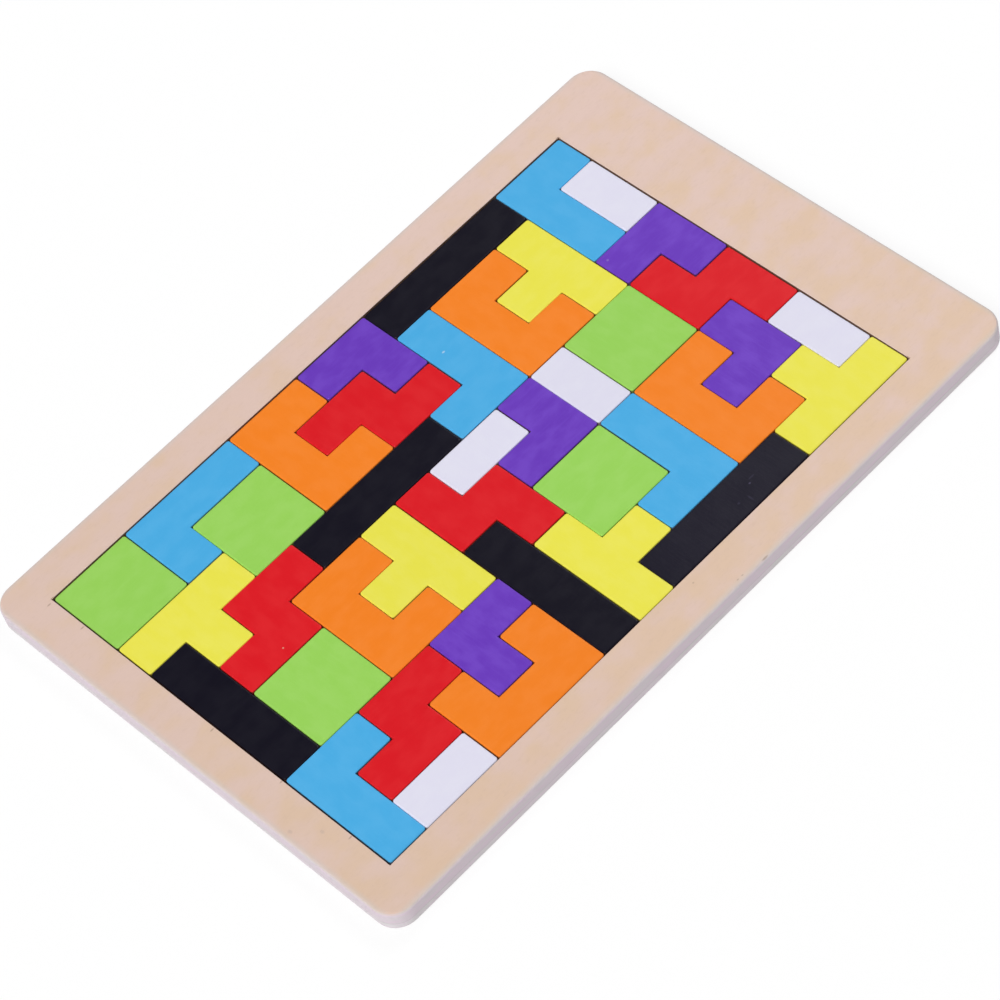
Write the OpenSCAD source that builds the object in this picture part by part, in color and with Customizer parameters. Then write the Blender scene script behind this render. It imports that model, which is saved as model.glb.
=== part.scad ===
// Forty-block polyomino tray puzzle: a shallow wooden tray and forty painted wooden blocks
// of eight shapes, packed edge to edge in a recess of ten by fifteen square cells.
// Origin: centre of the tray's underside. +Y points to the wide header rim, +Z up.

/* [Blocks] */
// Side of one square cell of the packing grid
cell = 15; // [10:0.5:25]
// Thickness of every block
block_t = 4.7; // [3:0.1:8]
// Gap between neighbouring blocks
block_gap = 0.24; // [0.12:0.02:0.5]
// Share of that gap that a loose block slides when it leans off its place
stray = 0.4; // [0:0.05:0.4]
// Radius of a block's outer corners, seen from above
block_corner_r = 0.9; // [0.7:0.1:2]
// Radius sanded along a block's top and bottom edges
block_edge_r = 0.5; // [0.2:0.05:0.6]

/* [Recess] */
// Play between the packed blocks and the recess wall
wall_play = 0.3; // [0.15:0.05:0.6]
// Share of that play by which the packed blocks have slid to the left
slid_left = 0.4; // [-0.9:0.1:0.9]
// Share of that play by which they have slid up to the header
slid_up = 0.5; // [-0.9:0.1:0.9]
// Depth of the block tops below the rim
sink = 0.3; // [0.1:0.1:1]
// Radius eased along the recess's top edge
mouth_edge_r = 0.2; // [0.1:0.05:0.5]

/* [Tray] */
// Width of the two side rims
side_rim = 14.7; // [10:0.1:25]
// Width of the rim at the foot
foot_rim = 13.5; // [10:0.1:25]
// Width of the header rim
header_rim = 28.9; // [15:0.1:45]
// Thickness of the base board under the frame
base_t = 3; // [2.5:0.1:6]
// Radius of the tray's four corners, seen from above
tray_corner_r = 8; // [4:0.5:9.5]
// Radius sanded along the tray's outer edges
tray_edge_r = 1; // [0.4:0.1:1.5]

/* [Hidden] */
BLOCK_KINDS = [
    "blue_ell", "white_domino", "purple_corner", "red_step",
    "yellow_tee", "black_bar", "green_square", "orange_cup"
];
BLOCKS_OF_A_KIND = 5;

$fn = 48;

// The packing grid, in cells
columns = 10;
rows = 15;

// Sizes that follow from the ones above
recess_w = columns * cell + 2 * wall_play;
recess_l = rows * cell + 2 * wall_play;
recess_depth = block_t + sink;
tray_w = recess_w + 2 * side_rim;
tray_l = recess_l + foot_rim + header_rim;
tray_t = base_t + recess_depth;
// Lower left corner of the recess
recess_x = -recess_w / 2;
recess_y = -tray_l / 2 + foot_rim;
// Centre of the grid's first cell, in the foot's left corner
first_cell_x = recess_x + wall_play * (1 - slid_left) + cell / 2;
first_cell_y = recess_y + wall_play * (1 + slid_up) + cell / 2;

// How far a cutter runs past the faces that it cuts
overcut = 1;
// Longer than any board, so that a batten runs out past both its ends
batten_run = 2 * tray_l;
// Flats that make up the quarter round of a sanded edge
edge_flats = 3;

// Each shape is the union of strips [column, row, width, length] in cells, counted from its
// own first cell. Strips that meet overlap by a cell, so that the sanded edges run on.
ell_strips = [[0, 0, 1, 3], [0, 0, 2, 1]];
domino_strips = [[0, 0, 2, 1]];
corner_strips = [[0, 0, 2, 1], [0, 0, 1, 2]];
step_strips = [[0, 0, 2, 1], [1, 0, 1, 2], [1, 1, 2, 1]];
tee_strips = [[-1, 0, 3, 1], [0, 0, 1, 2]];
bar_strips = [[0, 0, 4, 1]];
square_strips = [[0, 0, 2, 2]];
cup_strips = [[-1, 0, 3, 1], [-1, 0, 1, 2], [1, 0, 1, 2]];

// Where each block lies: [column, row of its first cell, quarter turns, 1 if turned over,
// lean along X, lean along Y], with column 0 and row 0 in the foot's left corner.
// A lean is 1 or -1 where the block has slid towards its neighbour, and 0 where it sits true.
ell_places = [
    [0, 13, 3, 1, 0, 0], [8, 10, 1, 1, 0, 1], [3, 9, 1, 1, -1, 1],
    [0, 2, 0, 0, -1, 1], [7, 0, 3, 1, -1, 1]
];
domino_places = [
    [1, 14, 0, 0, -1, -1], [7, 14, 0, 0, 1, -1], [4, 10, 0, 0, 0, -1],
    [4, 7, 1, 0, 0, -1], [9, 1, 1, 0, 1, -1]
];
corner_places = [
    [3, 14, 3, 0, -1, 1], [7, 13, 2, 0, 1, -1], [5, 9, 2, 0, -1, 1],
    [0, 8, 3, 0, -1, 1], [7, 4, 0, 0, 0, 1]
];
step_places = [
    [4, 13, 0, 0, 1, -1], [2, 8, 1, 1, 1, -1], [4, 6, 0, 0, -1, 0],
    [4, 1, 1, 0, -1, 0], [8, 1, 1, 0, 1, 1]
];
tee_places = [
    [9, 13, 1, 0, 0, 1], [2, 12, 2, 0, 1, 0], [8, 7, 0, 0, 1, 1],
    [5, 5, 2, 0, 0, -1], [2, 1, 3, 0, 1, 0]
];
bar_places = [
    [0, 9, 1, 0, 0, 0], [9, 8, 1, 0, 0, 0], [3, 4, 1, 0, 0, 0],
    [6, 6, 0, 0, 0, 0], [3, 0, 0, 0, 0, 0]
];
square_places = [
    [4, 11, 0, 0, 0, 0], [6, 8, 0, 0, 1, -1], [1, 3, 0, 0, 1, -1],
    [5, 1, 0, 0, 0, 0], [0, 0, 0, 0, 0, 0]
];
cup_places = [
    [7, 11, 0, 0, 1, 0], [2, 10, 0, 0, -1, 0], [1, 5, 0, 0, 0, 0],
    [9, 4, 1, 0, 1, 1], [5, 3, 0, 0, 1, 0]
];

// The same strips seen with the block turned over, left for right
function turned_over(strips) = [for (s = strips) [1 - s[0] - s[2], s[1], s[2], s[3]]];

// How far a block has slid off its place
function slide(place) = block_gap * stray * [place[4], place[5]];

// Points of a quarter circle round [x, y], counter-clockwise from the angle start
function quarter_round(x, y, r, start) = [
    for (flat = [0 : edge_flats])
        let (angle = start + 90 * flat / edge_flats)
            [x + r * cos(angle), y + r * sin(angle)]
];

// Batten of wood from x0 to x1 that runs along Y, with its four long edges sanded round
module batten(x0, x1, thickness, edge_r) {
    rotate([90, 0, 0])
        linear_extrude(batten_run, center = true)
            polygon(concat(
                quarter_round(x1 - edge_r, thickness - edge_r, edge_r, 0),
                quarter_round(x0 + edge_r, thickness - edge_r, edge_r, 90),
                quarter_round(x0 + edge_r, edge_r, edge_r, 180),
                quarter_round(x1 - edge_r, edge_r, edge_r, 270)
            ));
}

// What is sawn and sanded off a board to round its +X +Y corner, with the round's axis on Z
module corner_waste(thickness, corner_r, edge_r) {
    side = corner_r + overcut;
    x = corner_r - edge_r;
    difference() {
        translate([0, 0, -overcut])
            cube([side, side, thickness + 2 * overcut]);
        rotate_extrude()
            polygon(concat(
                [[0, thickness], [0, 0]],
                quarter_round(x, edge_r, edge_r, 270),
                quarter_round(x, thickness - edge_r, edge_r, 0)
            ));
    }
}

// Flat board from x0 to x1 and y0 to y1 with every edge sanded round: what two crossed battens
// have in common, less the waste of its four corners
module board(x0, x1, y0, y1, thickness, corner_r, edge_r) {
    corners = [
        [x1 - corner_r, y1 - corner_r, 0],
        [x0 + corner_r, y1 - corner_r, 90],
        [x0 + corner_r, y0 + corner_r, 180],
        [x1 - corner_r, y0 + corner_r, 270]
    ];
    difference() {
        intersection() {
            batten(x0, x1, thickness, edge_r);
            rotate([0, 0, 90])
                batten(y0, y1, thickness, edge_r);
        }
        for (corner = corners)
            translate([corner[0], corner[1], 0])
                rotate([0, 0, corner[2]])
                    corner_waste(thickness, corner_r, edge_r);
    }
}

// One block as sawn from its strips, its first cell centred on the origin
module block(strips) {
    half = (cell - block_gap) / 2;
    for (s = strips)
        board(
            s[0] * cell - half, (s[0] + s[2] - 1) * cell + half,
            s[1] * cell - half, (s[1] + s[3] - 1) * cell + half,
            block_t, block_corner_r, block_edge_r
        );
}

// One block laid in its place on the recess floor
module laid_block(strips, place) {
    translate([
        first_cell_x + place[0] * cell + slide(place)[0],
        first_cell_y + place[1] * cell + slide(place)[1],
        base_t
    ])
        rotate([0, 0, 90 * place[2]])
            block(place[3] == 1 ? turned_over(strips) : strips);
}

// The whole tray before the recess is cut and the base is parted from the frame
module tray_blank() {
    board(
        -tray_w / 2, tray_w / 2,
        -tray_l / 2, tray_l / 2,
        tray_t, tray_corner_r, tray_edge_r
    );
}

// Strip that eases one top edge of the recess: it runs along X, with the wood on its +Y side
module mouth_cutter(run) {
    translate([-run / 2, 0, tray_t])
        rotate([90, 0, 90])
            linear_extrude(run)
                difference() {
                    translate([-overcut, -mouth_edge_r])
                        square(overcut + mouth_edge_r);
                    translate([mouth_edge_r, -mouth_edge_r])
                        circle(r = mouth_edge_r);
                }
}

// The recess as it is cut: straight walls with sharp corners and an eased top edge
module recess_cut() {
    translate([recess_x, recess_y, base_t - overcut])
        cube([recess_w, recess_l, recess_depth + 2 * overcut]);
    translate([0, recess_y + recess_l / 2, 0]) {
        for (turn = [0, 180])
            rotate([0, 0, turn])
                translate([0, recess_l / 2, 0])
                    mouth_cutter(recess_w + 2 * mouth_edge_r);
        for (turn = [90, 270])
            rotate([0, 0, turn])
                translate([0, recess_w / 2, 0])
                    mouth_cutter(recess_l + 2 * mouth_edge_r);
    }
}

// Everything below the joint between the base board and the frame
module below_joint() {
    translate([-tray_w, -tray_l, -overcut])
        cube([2 * tray_w, 2 * tray_l, overcut + base_t]);
}

// Upper board of the tray, with the recess cut right through it
module tray_frame() {
    color([0.87, 0.77, 0.70])
        difference() {
            tray_blank();
            below_joint();
            recess_cut();
        }
}

// Thin base board, glued under the frame; its upper face is the recess floor
module tray_base() {
    color([0.82, 0.74, 0.68])
        intersection() {
            tray_blank();
            below_joint();
        }
}

module blue_ell(i) {
    color([0.32, 0.68, 0.89])
        laid_block(ell_strips, ell_places[i]);
}

module white_domino(i) {
    color([0.88, 0.87, 0.94])
        laid_block(domino_strips, domino_places[i]);
}

module purple_corner(i) {
    color([0.44, 0.27, 0.75])
        laid_block(corner_strips, corner_places[i]);
}

module red_step(i) {
    color([0.86, 0.15, 0.18])
        laid_block(step_strips, step_places[i]);
}

module yellow_tee(i) {
    color([0.92, 0.89, 0.34])
        laid_block(tee_strips, tee_places[i]);
}

module black_bar(i) {
    color([0.13, 0.12, 0.16])
        laid_block(bar_strips, bar_places[i]);
}

module green_square(i) {
    color([0.61, 0.83, 0.38])
        laid_block(square_strips, square_places[i]);
}

module orange_cup(i) {
    color([0.96, 0.53, 0.18])
        laid_block(cup_strips, cup_places[i]);
}

tray_frame();
tray_base();
for (i = [0 : BLOCKS_OF_A_KIND - 1]) {
    blue_ell(i);
    white_domino(i);
    purple_corner(i);
    red_step(i);
    yellow_tee(i);
    black_bar(i);
    green_square(i);
    orange_cup(i);
}
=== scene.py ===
import math
import random

import bpy
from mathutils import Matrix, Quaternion, Vector


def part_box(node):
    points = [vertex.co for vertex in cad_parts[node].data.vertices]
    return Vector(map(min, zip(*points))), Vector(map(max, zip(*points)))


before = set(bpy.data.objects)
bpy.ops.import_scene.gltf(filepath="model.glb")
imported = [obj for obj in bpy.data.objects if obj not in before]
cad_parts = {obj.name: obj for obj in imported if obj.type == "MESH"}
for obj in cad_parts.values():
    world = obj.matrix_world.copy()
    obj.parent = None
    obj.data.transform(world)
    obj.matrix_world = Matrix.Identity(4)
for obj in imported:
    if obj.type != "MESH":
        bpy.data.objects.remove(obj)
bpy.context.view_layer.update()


# Tray base
# The thin plywood board under the whole tray, glued to the frame and sanded flush with it.
# Its edge shows low on the sides, and its upper face is the floor that the blocks lie on.

seam_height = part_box("tray_base")[1][2]
seam_half_width = 0.00012
seam_share = 0.6

birch_pink = (0.748, 0.560, 0.492, 1)
birch_straw = (0.738, 0.541, 0.400, 1)
birch_grain = (0.560, 0.395, 0.300, 1)
base_edge_lilac = (0.665, 0.570, 0.635, 1)
base_edge_grey = (0.625, 0.605, 0.605, 1)
glue_line = (0.420, 0.370, 0.375, 1)

patch_size = 0.009
straw_to_the_right = 0.9
band_size, band_share = 0.004, 0.08
pore_size, pore_share = 0.0007, 0.16
darker_foot_y, paler_header_y = -0.13, 0.13
darker_foot_share = 0.19
fibre_size = 0.0012
wood_sheen = 0.22
wood_relief = 0.00003


class Finish:
    """A surface finish as it is built up on one material, coat by coat."""

    def __init__(self, name, sheen):
        self.material = bpy.data.materials.new(name)
        self.material.use_nodes = True
        self.nodes = self.material.node_tree.nodes
        self.links = self.material.node_tree.links
        self.surface = self.nodes["Principled BSDF"]
        self.surface.inputs["Specular IOR Level"].default_value = sheen
        where = self.nodes.new("ShaderNodeTexCoord")
        self.place = where.outputs["Object"]
        self.facing = where.outputs["Normal"]

    def set(self, socket, value):
        if isinstance(value, bpy.types.NodeSocket):
            self.links.new(value, socket)
        else:
            socket.default_value = value

    def work_out(self, operation, *values):
        """One sum on numbers, such as ADD or MULTIPLY."""
        node = self.nodes.new("ShaderNodeMath")
        node.operation = operation
        for socket, value in zip(node.inputs, values):
            self.set(socket, value)
        return node.outputs["Value"]

    def axis(self, vector, letter):
        node = self.nodes.new("ShaderNodeSeparateXYZ")
        self.set(node.inputs[0], vector)
        return node.outputs[letter]

    def clouds(self, size, drawn_out=(1, 1, 1), detail=2.0, shift=(0, 0, 0)):
        """Random soft patches about size metres across, longer where drawn_out is over 1."""
        spread = self.nodes.new("ShaderNodeVectorMath")
        spread.operation = "MULTIPLY_ADD"
        self.set(spread.inputs[0], self.place)
        self.set(spread.inputs[1], [1 / (size * length) for length in drawn_out])
        self.set(spread.inputs[2], shift)
        node = self.nodes.new("ShaderNodeTexNoise")
        self.set(node.inputs["Vector"], spread.outputs["Vector"])
        node.inputs["Scale"].default_value = 1
        node.inputs["Detail"].default_value = detail
        return node.outputs["Fac"]

    def fade(self, value, low, high, below=0.0, above=1.0):
        """below where the value is under low, above where it is over high, smooth between."""
        node = self.nodes.new("ShaderNodeMapRange")
        node.interpolation_type = "SMOOTHSTEP"
        for socket, number in zip(node.inputs, (value, low, high, below, above)):
            self.set(socket, number)
        return node.outputs["Result"]

    def stain(self, share, under, over):
        """The colour under, with the colour over laid on it by its share."""
        node = self.nodes.new("ShaderNodeMix")
        node.data_type = "RGBA"
        self.set(node.inputs["Factor"], share)
        first, second = [socket for socket in node.inputs if socket.type == "RGBA"]
        self.set(first, under)
        self.set(second, over)
        return [socket for socket in node.outputs if socket.type == "RGBA"][0]

    def relief(self, height, depth):
        """A fine relief in the surface, depth metres from the height 0 to the height 1."""
        node = self.nodes.new("ShaderNodeBump")
        node.inputs["Distance"].default_value = depth
        self.set(node.inputs["Height"], height)
        self.set(self.surface.inputs["Normal"], node.outputs["Normal"])

    def put_on(self, name):
        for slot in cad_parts[name].material_slots:
            slot.material = self.material


def sanded_plywood(name, shift, edge_lilac, edge_grey):
    """Pale plywood left bare: fine grain along its faces and its plies on the sawn edges."""
    finish = Finish(name, wood_sheen)

    patches = finish.clouds(patch_size, (1, 1.3, 1), detail=3.0, shift=shift)
    across = finish.work_out("MULTIPLY", finish.axis(finish.place, "X"), straw_to_the_right)
    tone = finish.work_out("ADD", patches, across)
    face = finish.stain(finish.fade(tone, low=0.32, high=0.74), birch_pink, birch_straw)
    bands = finish.clouds(band_size, (1, 20, 1), detail=3.0, shift=shift)
    banded = finish.fade(bands, low=0.40, high=0.80, above=band_share)
    face = finish.stain(banded, face, birch_grain)
    pores = finish.clouds(pore_size, (1, 3, 1), shift=shift)
    pored = finish.fade(pores, low=0.50, high=0.80, above=pore_share)
    face = finish.stain(pored, face, birch_grain)
    along = finish.axis(finish.place, "Y")
    darker = finish.fade(
        along, low=darker_foot_y, high=paler_header_y, below=darker_foot_share, above=0.0
    )
    face = finish.stain(darker, face, birch_grain)

    height = finish.axis(finish.place, "Z")
    fibres = finish.clouds(fibre_size, (8, 8, 0.6), shift=shift)
    edge = finish.stain(finish.fade(fibres, low=0.35, high=0.65), edge_lilac, edge_grey)
    off_seam = finish.work_out("ABSOLUTE", finish.work_out("SUBTRACT", height, seam_height))
    seam = finish.fade(
        off_seam, low=0.4 * seam_half_width, high=seam_half_width, below=seam_share, above=0.0
    )
    edge = finish.stain(seam, edge, glue_line)

    finish.level = finish.work_out("ABSOLUTE", finish.axis(finish.facing, "Z"))
    finish.wood = finish.stain(finish.fade(finish.level, low=0.45, high=1.0), edge, face)
    roughness = finish.fade(bands, low=0.3, high=0.7, below=0.52, above=0.62)
    finish.set(finish.surface.inputs["Roughness"], roughness)
    finish.relief(finish.work_out("ADD", pores, fibres), wood_relief)
    return finish


base_wood = sanded_plywood(
    "base_plywood", shift=(3.1, 0.7, 5.2), edge_lilac=base_edge_lilac, edge_grey=base_edge_grey
)
base_wood.set(base_wood.surface.inputs["Base Color"], base_wood.wood)
base_wood.put_on("tray_base")


# Tray frame
# The upper plywood board, glued down on the base, with the recess cut through it by a hot beam
# that left the walls scorched, their brown deepened as painted shade. Sanded and left bare, with
# a painted highlight in grey along its outer edges, and with ticks and flecks.

frame_edge_lilac = (0.643, 0.532, 0.603, 1)
frame_edge_grey = (0.608, 0.553, 0.580, 1)
arris_highlight_grey = (0.588, 0.568, 0.562, 1)
scorched_and_shaded_brown = (0.210, 0.120, 0.075, 1)
mark_brown = (0.300, 0.205, 0.140, 1)
smudge_grey = (0.480, 0.370, 0.320, 1)
narrowest_rim = 0.010
highlight_from, highlight_to = 0.0002, 0.0026
highlight_share = 0.45
mm_in_a_metre = 1000

frame_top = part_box("tray_frame")[1]
rim_height = frame_top[2]
frame_wood = sanded_plywood(
    "frame_plywood", shift=(0, 0, 0), edge_lilac=frame_edge_lilac, edge_grey=frame_edge_grey
)
inwards = []
for letter, outside in zip("XY", frame_top):
    off_middle = frame_wood.work_out("ABSOLUTE", frame_wood.axis(frame_wood.place, letter))
    inwards.append(frame_wood.work_out("SUBTRACT", outside, off_middle))
from_outside = frame_wood.work_out("MINIMUM", *inwards)
# Painted highlight: a grey band on the top along the outer edges, where the rounded arris catches
# light.
by_the_edge = frame_wood.fade(
    from_outside, low=highlight_from, high=highlight_to, below=highlight_share, above=0.0
)
on_top = frame_wood.fade(frame_wood.level, low=0.3, high=0.8)
arris_highlight = frame_wood.work_out("MULTIPLY", by_the_edge, on_top)
top_wood = frame_wood.stain(arris_highlight, frame_wood.wood, arris_highlight_grey)
# The recess walls are scorched brown, deepened further as painted shade for the narrow gap by the
# blocks.
in_recess = frame_wood.fade(from_outside, low=0.9 * narrowest_rim, high=narrowest_rim)
on_wall = frame_wood.fade(frame_wood.level, low=0.2, high=0.6, below=1.0, above=0.0)
scorched_and_shaded = frame_wood.work_out("MULTIPLY", in_recess, on_wall)
marked = frame_wood.stain(scorched_and_shaded, top_wood, scorched_and_shaded_brown)


def mark(finish, colour, under, x, y, width, length, share, height=rim_height):
    """One soft oval mark with its middle at x, y on a level face; its sizes are in millimetres."""
    apart = finish.nodes.new("ShaderNodeVectorMath")
    apart.operation = "SUBTRACT"
    finish.set(apart.inputs[0], finish.place)
    finish.set(apart.inputs[1], (x / mm_in_a_metre, y / mm_in_a_metre, height))
    narrow = finish.nodes.new("ShaderNodeVectorMath")
    narrow.operation = "DIVIDE"
    finish.set(narrow.inputs[0], apart.outputs["Vector"])
    half_sizes = (width / 2, length / 2, max(width, length))
    finish.set(narrow.inputs[1], [half_size / mm_in_a_metre for half_size in half_sizes])
    far = finish.nodes.new("ShaderNodeVectorMath")
    far.operation = "LENGTH"
    finish.set(far.inputs[0], narrow.outputs["Vector"])
    inside = finish.fade(far.outputs["Value"], low=0.3, high=1.0, below=share, above=0.0)
    return finish.stain(inside, under, colour)


for x, y in [(-74.3, -122.4), (-59.5, -121.6), (-0.2, -121.6), (29.6, -120.9), (59.5, -121.3)]:
    marked = mark(frame_wood, mark_brown, marked, x, y, width=0.8, length=2.2, share=0.55)
for x, y in [(44.0, -131.1), (51.6, -125.2)]:
    marked = mark(frame_wood, smudge_grey, marked, x, y, width=2.4, length=1.6, share=0.35)
marked = mark(frame_wood, mark_brown, marked, 89.5, 23.9, width=0.7, length=3.6, share=0.55)
for y in (15.2, 13.2):
    marked = mark(frame_wood, mark_brown, marked, 88.4, y, width=0.6, length=1.2, share=0.45)
marked = mark(frame_wood, mark_brown, marked, 78.6, 4.3, width=0.9, length=1.0, share=0.35)
frame_wood.set(frame_wood.surface.inputs["Base Color"], marked)
frame_wood.put_on("tray_frame")


# Blue L blocks
# Four cells each of thin board, cut to an L by a hot beam that left the sides brown, their brown
# deepened as painted shade for the gaps; sanded round and painted sky blue. Like all the blocks
# they lie loose; the third has a painted glint.

blocks_of_a_kind = 5
block_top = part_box("blue_ell_1")[1][2]

sky_blue = (0.066, 0.408, 0.762)
thin_sky_blue = (0.096, 0.448, 0.800)
char_and_shade_brown = (0.200, 0.085, 0.040, 1)
char_and_shade_share = 0.65
chip_and_glint_white = (0.800, 0.840, 0.900, 1)

tint_spread = 0.015
mottle_size = 0.0045
grain_size, grain_length = 0.0007, 14
edge_highlight_patch_size = 0.004
edge_highlight_gain, edge_highlight_lift = 1.12, 0.008
arris_level = 0.7
droplet_size = 0.0011
paint_sheen = 0.22
paint_relief = 0.00002
dice = random.Random(40)


def satin_paint(name, coat, thin_coat, mottle):
    """One thin satin coat on sanded wood: a little mottled, with a painted highlight on its edges.
    """
    finish = Finish(name, paint_sheen)
    shift = [dice.uniform(0, 50) for _ in range(3)]
    tint = 1 + dice.uniform(-tint_spread, tint_spread)
    coat = [channel * tint for channel in coat] + [1]
    thin_coat = [channel * tint for channel in thin_coat] + [1]
    grain_runs = dice.choice([(grain_length, 1, 1), (1, grain_length, 1)])

    # The mottling runs along the grain too, but is drawn out far less.
    mottle_runs = [length ** 0.2 for length in grain_runs]
    mottling = finish.clouds(mottle_size, mottle_runs, detail=4.0, shift=shift)
    mottled = finish.fade(mottling, low=0.35, high=0.70, above=mottle)
    colour = finish.stain(mottled, coat, thin_coat)
    grain = finish.clouds(grain_size, grain_runs, shift=shift)
    grained = finish.fade(grain, low=0.50, high=0.80, above=0.5 * mottle)
    colour = finish.stain(grained, colour, thin_coat)

    level = finish.work_out("ABSOLUTE", finish.axis(finish.facing, "Z"))
    # Painted highlight: the paint is made lighter on the rounded edges, in soft patches.
    off_arris = finish.work_out("ABSOLUTE", finish.work_out("SUBTRACT", level, arris_level))
    edge_highlight_patches = finish.clouds(edge_highlight_patch_size, shift=shift)
    edge_highlight = finish.work_out(
        "MULTIPLY",
        finish.fade(off_arris, low=0.1, high=0.3, below=1.0, above=0.0),
        finish.fade(edge_highlight_patches, low=0.30, high=0.70, below=0.5, above=1.0),
    )
    edge_highlight_coat = [edge_highlight_gain * channel + edge_highlight_lift for channel in coat[:3]] + [1]
    colour = finish.stain(edge_highlight, colour, edge_highlight_coat)
    # The upright sides are char brown, deepened further as painted shade for the gaps between
    # blocks.
    upright = finish.fade(level, low=0.0, high=0.25, below=char_and_shade_share, above=0.0)
    finish.colour = finish.stain(upright, colour, char_and_shade_brown)

    roughness = finish.fade(mottling, low=0.3, high=0.7, below=0.36, above=0.42)
    finish.set(finish.surface.inputs["Roughness"], roughness)
    droplets = finish.clouds(droplet_size, detail=1.0, shift=shift)
    finish.relief(finish.work_out("ADD", grain, droplets), paint_relief)
    return finish


def paint_blocks(kind, coat, thin_coat, mottle, scuff_and_highlight_colour=None, scuffs_and_highlights=()):
    """Each scuff, chip, painted glint or painted sheen is a block's number, its x, y, width and
    length in millimetres, and its share.
    """
    for number in range(1, blocks_of_a_kind + 1):
        paint = satin_paint(f"{kind}_paint_{number}", coat, thin_coat, mottle)
        for block_number, x, y, width, length, share in scuffs_and_highlights:
            if block_number == number:
                paint.colour = mark(
                    paint, scuff_and_highlight_colour, paint.colour, x, y, width, length, share, height=block_top
                )
        paint.set(paint.surface.inputs["Base Color"], paint.colour)
        paint.put_on(f"{kind}_{number}")


paint_blocks(
    "blue_ell", sky_blue, thin_sky_blue, mottle=0.45,
    # Block 3 gets a painted glint, a bluish white speck of light.
    scuff_and_highlight_colour=chip_and_glint_white, scuffs_and_highlights=[(3, -44.0, 20.4, 1.0, 1.6, 0.40)]
)


# White domino blocks
# The smallest blocks, two cells each of the same thin board, painted a cool white that leans
# to lilac. The white coat is even and hides the grain.

lilac_white = (0.730, 0.715, 0.848)
thin_lilac_white = (0.760, 0.755, 0.860)

paint_blocks("white_domino", lilac_white, thin_lilac_white, mottle=0.4)


# Purple corner blocks
# Three cells each of the same thin board, painted violet. The coat is thin and mottled, so
# that lighter and darker patches show, and the first has a small pale chip.

violet = (0.138, 0.039, 0.487)
thin_violet = (0.171, 0.061, 0.558)

paint_blocks(
    "purple_corner", violet, thin_violet, mottle=0.75,
    scuff_and_highlight_colour=chip_and_glint_white, scuffs_and_highlights=[(1, -27.1, 77.9, 1.2, 1.2, 0.12)]
)


# Red step blocks
# Four cells each of the same thin board, cut to a Z and painted a warm red that covers well.
# The fourth has lost a speck of its paint, and the pale wood shows.

warm_red = (0.702, 0.006, 0.013)
thin_warm_red = (0.760, 0.020, 0.025)

paint_blocks(
    "red_step", warm_red, thin_warm_red, mottle=0.4,
    scuff_and_highlight_colour=birch_straw, scuffs_and_highlights=[(4, -4.3, -88.1, 0.8, 0.8, 0.6)]
)


# Yellow T blocks
# Four cells each of the same thin board, cut to a T and painted lemon yellow.
# The coat is thin but even, and a painted highlight makes it a little pale on the edges.

lemon_yellow = (0.810, 0.760, 0.072)
thin_lemon_yellow = (0.842, 0.799, 0.140)

paint_blocks("yellow_tee", lemon_yellow, thin_lemon_yellow, mottle=0.35)


# Black bar blocks
# Four cells each of the same thin board in a row, painted a deep and even black. The second
# bar, by the right-hand wall, has a painted sheen all over, with a bright speck and three scuffs.

deep_black = (0.0015, 0.0006, 0.0075)
thin_black = (0.009, 0.008, 0.016)
scuff_and_sheen_grey = (0.120, 0.105, 0.190, 1)

paint_blocks(
    "black_bar", deep_black, thin_black, mottle=0.3,
    scuff_and_highlight_colour=scuff_and_sheen_grey,
    scuffs_and_highlights=[
        # Painted sheen: a faint grey laid over the whole second bar.
        (2, 67.5, 29.8, 40.0, 120.0, 0.05),
        (2, 67.4, 41.3, 0.9, 1.1, 0.40),
        (2, 66.2, 43.3, 0.9, 3.4, 0.12),
        (2, 71.3, 37.5, 3.6, 1.0, 0.12),
        (2, 69.8, 33.8, 1.2, 1.4, 0.12),
    ]
)


# Green square blocks
# Four cells each of the same thin board in a square, painted apple green.
# The coat is thin and mottled, but less so than the violet one.

apple_green = (0.308, 0.635, 0.101)
thin_apple_green = (0.363, 0.679, 0.145)

paint_blocks("green_square", apple_green, thin_apple_green, mottle=0.4)


# Orange cup blocks
# The largest blocks, five cells each of the same thin board, cut to a U and painted orange.
# The coat is smooth and even, with a painted highlight that makes it a little lighter on the
# edges.

warm_orange = (0.900, 0.220, 0.013)
thin_warm_orange = (0.930, 0.256, 0.034)

paint_blocks("orange_cup", warm_orange, thin_warm_orange, mottle=0.4)


# Studio
# A round white table top that sweeps up into a low white wall, under an even soft room light.
# One large soft lamp stands over the foot corner; a smaller one past the header gives the sheen.

floor_gap = 0.00002
floor_radius = 3.0
sweep_radius = 1.0
sweep_steps = 12
floor_sides = 96
floor_white = (0.92, 0.92, 0.92, 1)
floor_shown_white = 0.85
floor_glow = 1.010
room_white = (1, 1, 1, 1)
room_light = 0.22

rings = [(floor_radius, -floor_gap)]
for step in range(1, sweep_steps + 1):
    bend = math.radians(90) * step / sweep_steps
    out = floor_radius + sweep_radius * math.sin(bend)
    rings.append((out, sweep_radius * (1 - math.cos(bend)) - floor_gap))
floor_points = [(0, 0, -floor_gap)]
floor_faces = []
for ring, (out, up) in enumerate(rings):
    for side in range(floor_sides):
        turn = 2 * math.pi * side / floor_sides
        floor_points.append((out * math.cos(turn), out * math.sin(turn), up))
        here = 1 + ring * floor_sides + side
        onward = 1 + ring * floor_sides + (side + 1) % floor_sides
        if ring == 0:
            floor_faces.append((0, here, onward))
        else:
            floor_faces.append((here - floor_sides, here, onward, onward - floor_sides))
floor_mesh = bpy.data.meshes.new("floor")
floor_mesh.from_pydata(floor_points, [], floor_faces)
floor = bpy.data.objects.new("floor", floor_mesh)
bpy.context.scene.collection.objects.link(floor)

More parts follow.
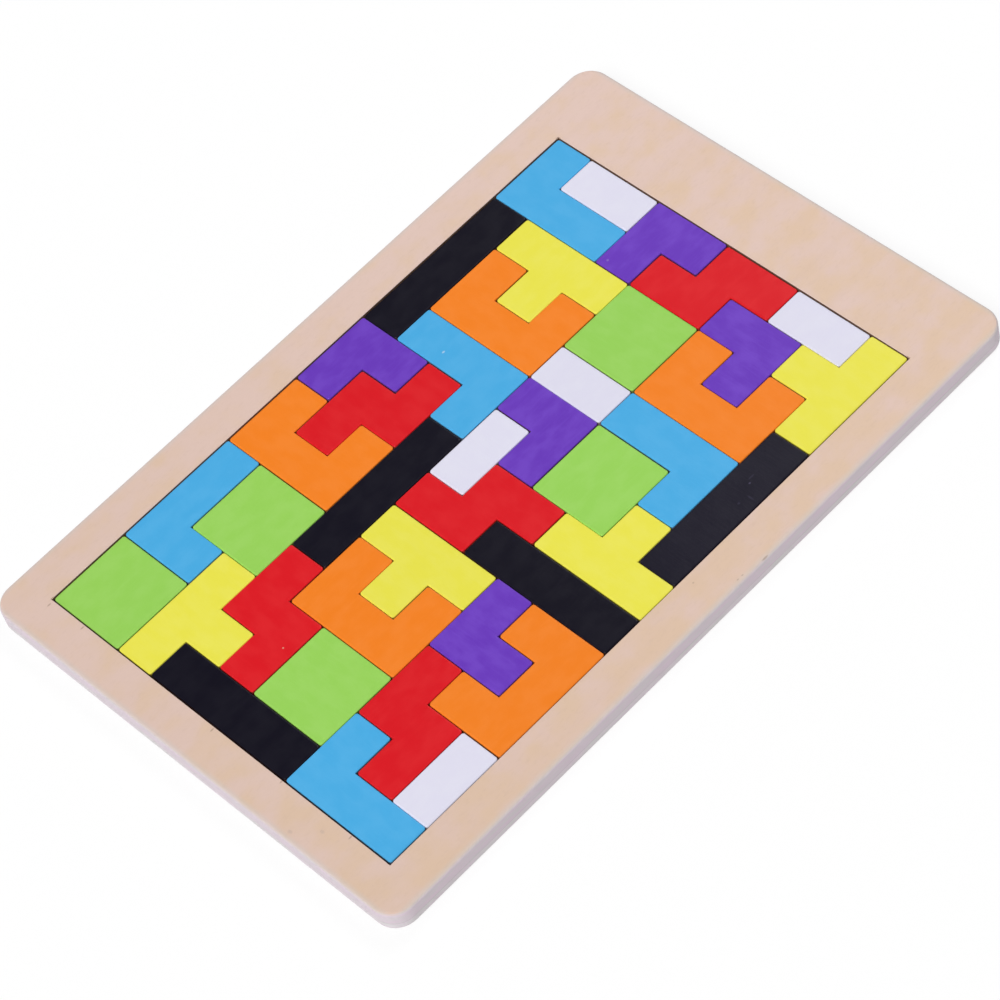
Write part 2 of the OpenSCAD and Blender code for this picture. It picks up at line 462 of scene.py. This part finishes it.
floor_finish = bpy.data.materials.new("floor_white")
floor_finish.use_nodes = True
nodes, links = floor_finish.node_tree.nodes, floor_finish.node_tree.links
nodes.clear()
path = nodes.new("ShaderNodeLightPath")
seen = path.outputs["Is Camera Ray"]
for way in ("Is Glossy Ray", "Is Transmission Ray"):
    either = nodes.new("ShaderNodeMath")
    either.operation = "MAXIMUM"
    links.new(seen, either.inputs[0])
    links.new(path.outputs[way], either.inputs[1])
    seen = either.outputs["Value"]
shown = nodes.new("ShaderNodeMath")
shown.operation = "MULTIPLY"
links.new(seen, shown.inputs[0])
shown.inputs[1].default_value = floor_shown_white
paper = nodes.new("ShaderNodeBsdfDiffuse")
paper.inputs["Color"].default_value = floor_white
glow = nodes.new("ShaderNodeEmission")
glow.inputs["Strength"].default_value = floor_glow
both = nodes.new("ShaderNodeMixShader")
links.new(shown.outputs["Value"], both.inputs["Fac"])
links.new(paper.outputs["BSDF"], both.inputs[1])
links.new(glow.outputs["Emission"], both.inputs[2])
links.new(both.outputs["Shader"], nodes.new("ShaderNodeOutputMaterial").inputs["Surface"])
floor_mesh.materials.append(floor_finish)

room = bpy.data.worlds.new("room")
bpy.context.scene.world = room
room.use_nodes = True
room.node_tree.nodes["Background"].inputs["Color"].default_value = room_white
room.node_tree.nodes["Background"].inputs["Strength"].default_value = room_light


def soft_lamp(name, towards, away, width, power):
    lamp = bpy.data.lights.new(name, "AREA")
    lamp.shape = "SQUARE"
    lamp.size = width
    lamp.energy = power
    holder = bpy.data.objects.new(name, lamp)
    direction = Vector(towards).normalized()
    holder.location = away * direction
    holder.rotation_mode = "QUATERNION"
    holder.rotation_quaternion = direction.to_track_quat("Z", "Y")
    bpy.context.scene.collection.objects.link(holder)


soft_lamp("foot_lamp", (0.20, -0.60, 0.775), away=6.0, width=3.3, power=286)
soft_lamp("far_lamp", (-0.25, 0.636, 0.731), away=2.2, width=0.7, power=13.5)


# Camera
# A long lens that looks down on the tray from beyond its right-hand foot corner.
# It is turned a little on its own axis, so that the tray leans over in the picture.

camera_azimuth = math.radians(58.86)
camera_elevation = math.radians(52.76)
camera_roll = math.radians(-17.73)
camera_aim = Vector((0.0105, -0.0093, 0.0077))
camera_distance = 1.2129
lens_length_mm = 144.234
film_width_mm = 36

to_camera = Vector((
    math.sin(camera_azimuth) * math.cos(camera_elevation),
    -math.cos(camera_azimuth) * math.cos(camera_elevation),
    math.sin(camera_elevation),
))
camera = bpy.data.objects.new("camera", bpy.data.cameras.new("camera"))
camera.data.lens = lens_length_mm
camera.data.sensor_width = film_width_mm
camera.location = camera_aim + camera_distance * to_camera
camera.rotation_mode = "QUATERNION"
camera.rotation_quaternion = (
    to_camera.to_track_quat("Z", "Y") @ Quaternion((0, 0, 1), camera_roll)
)
bpy.context.scene.collection.objects.link(camera)
bpy.context.scene.camera = camera
bpy.context.scene.view_settings.view_transform = "Standard"
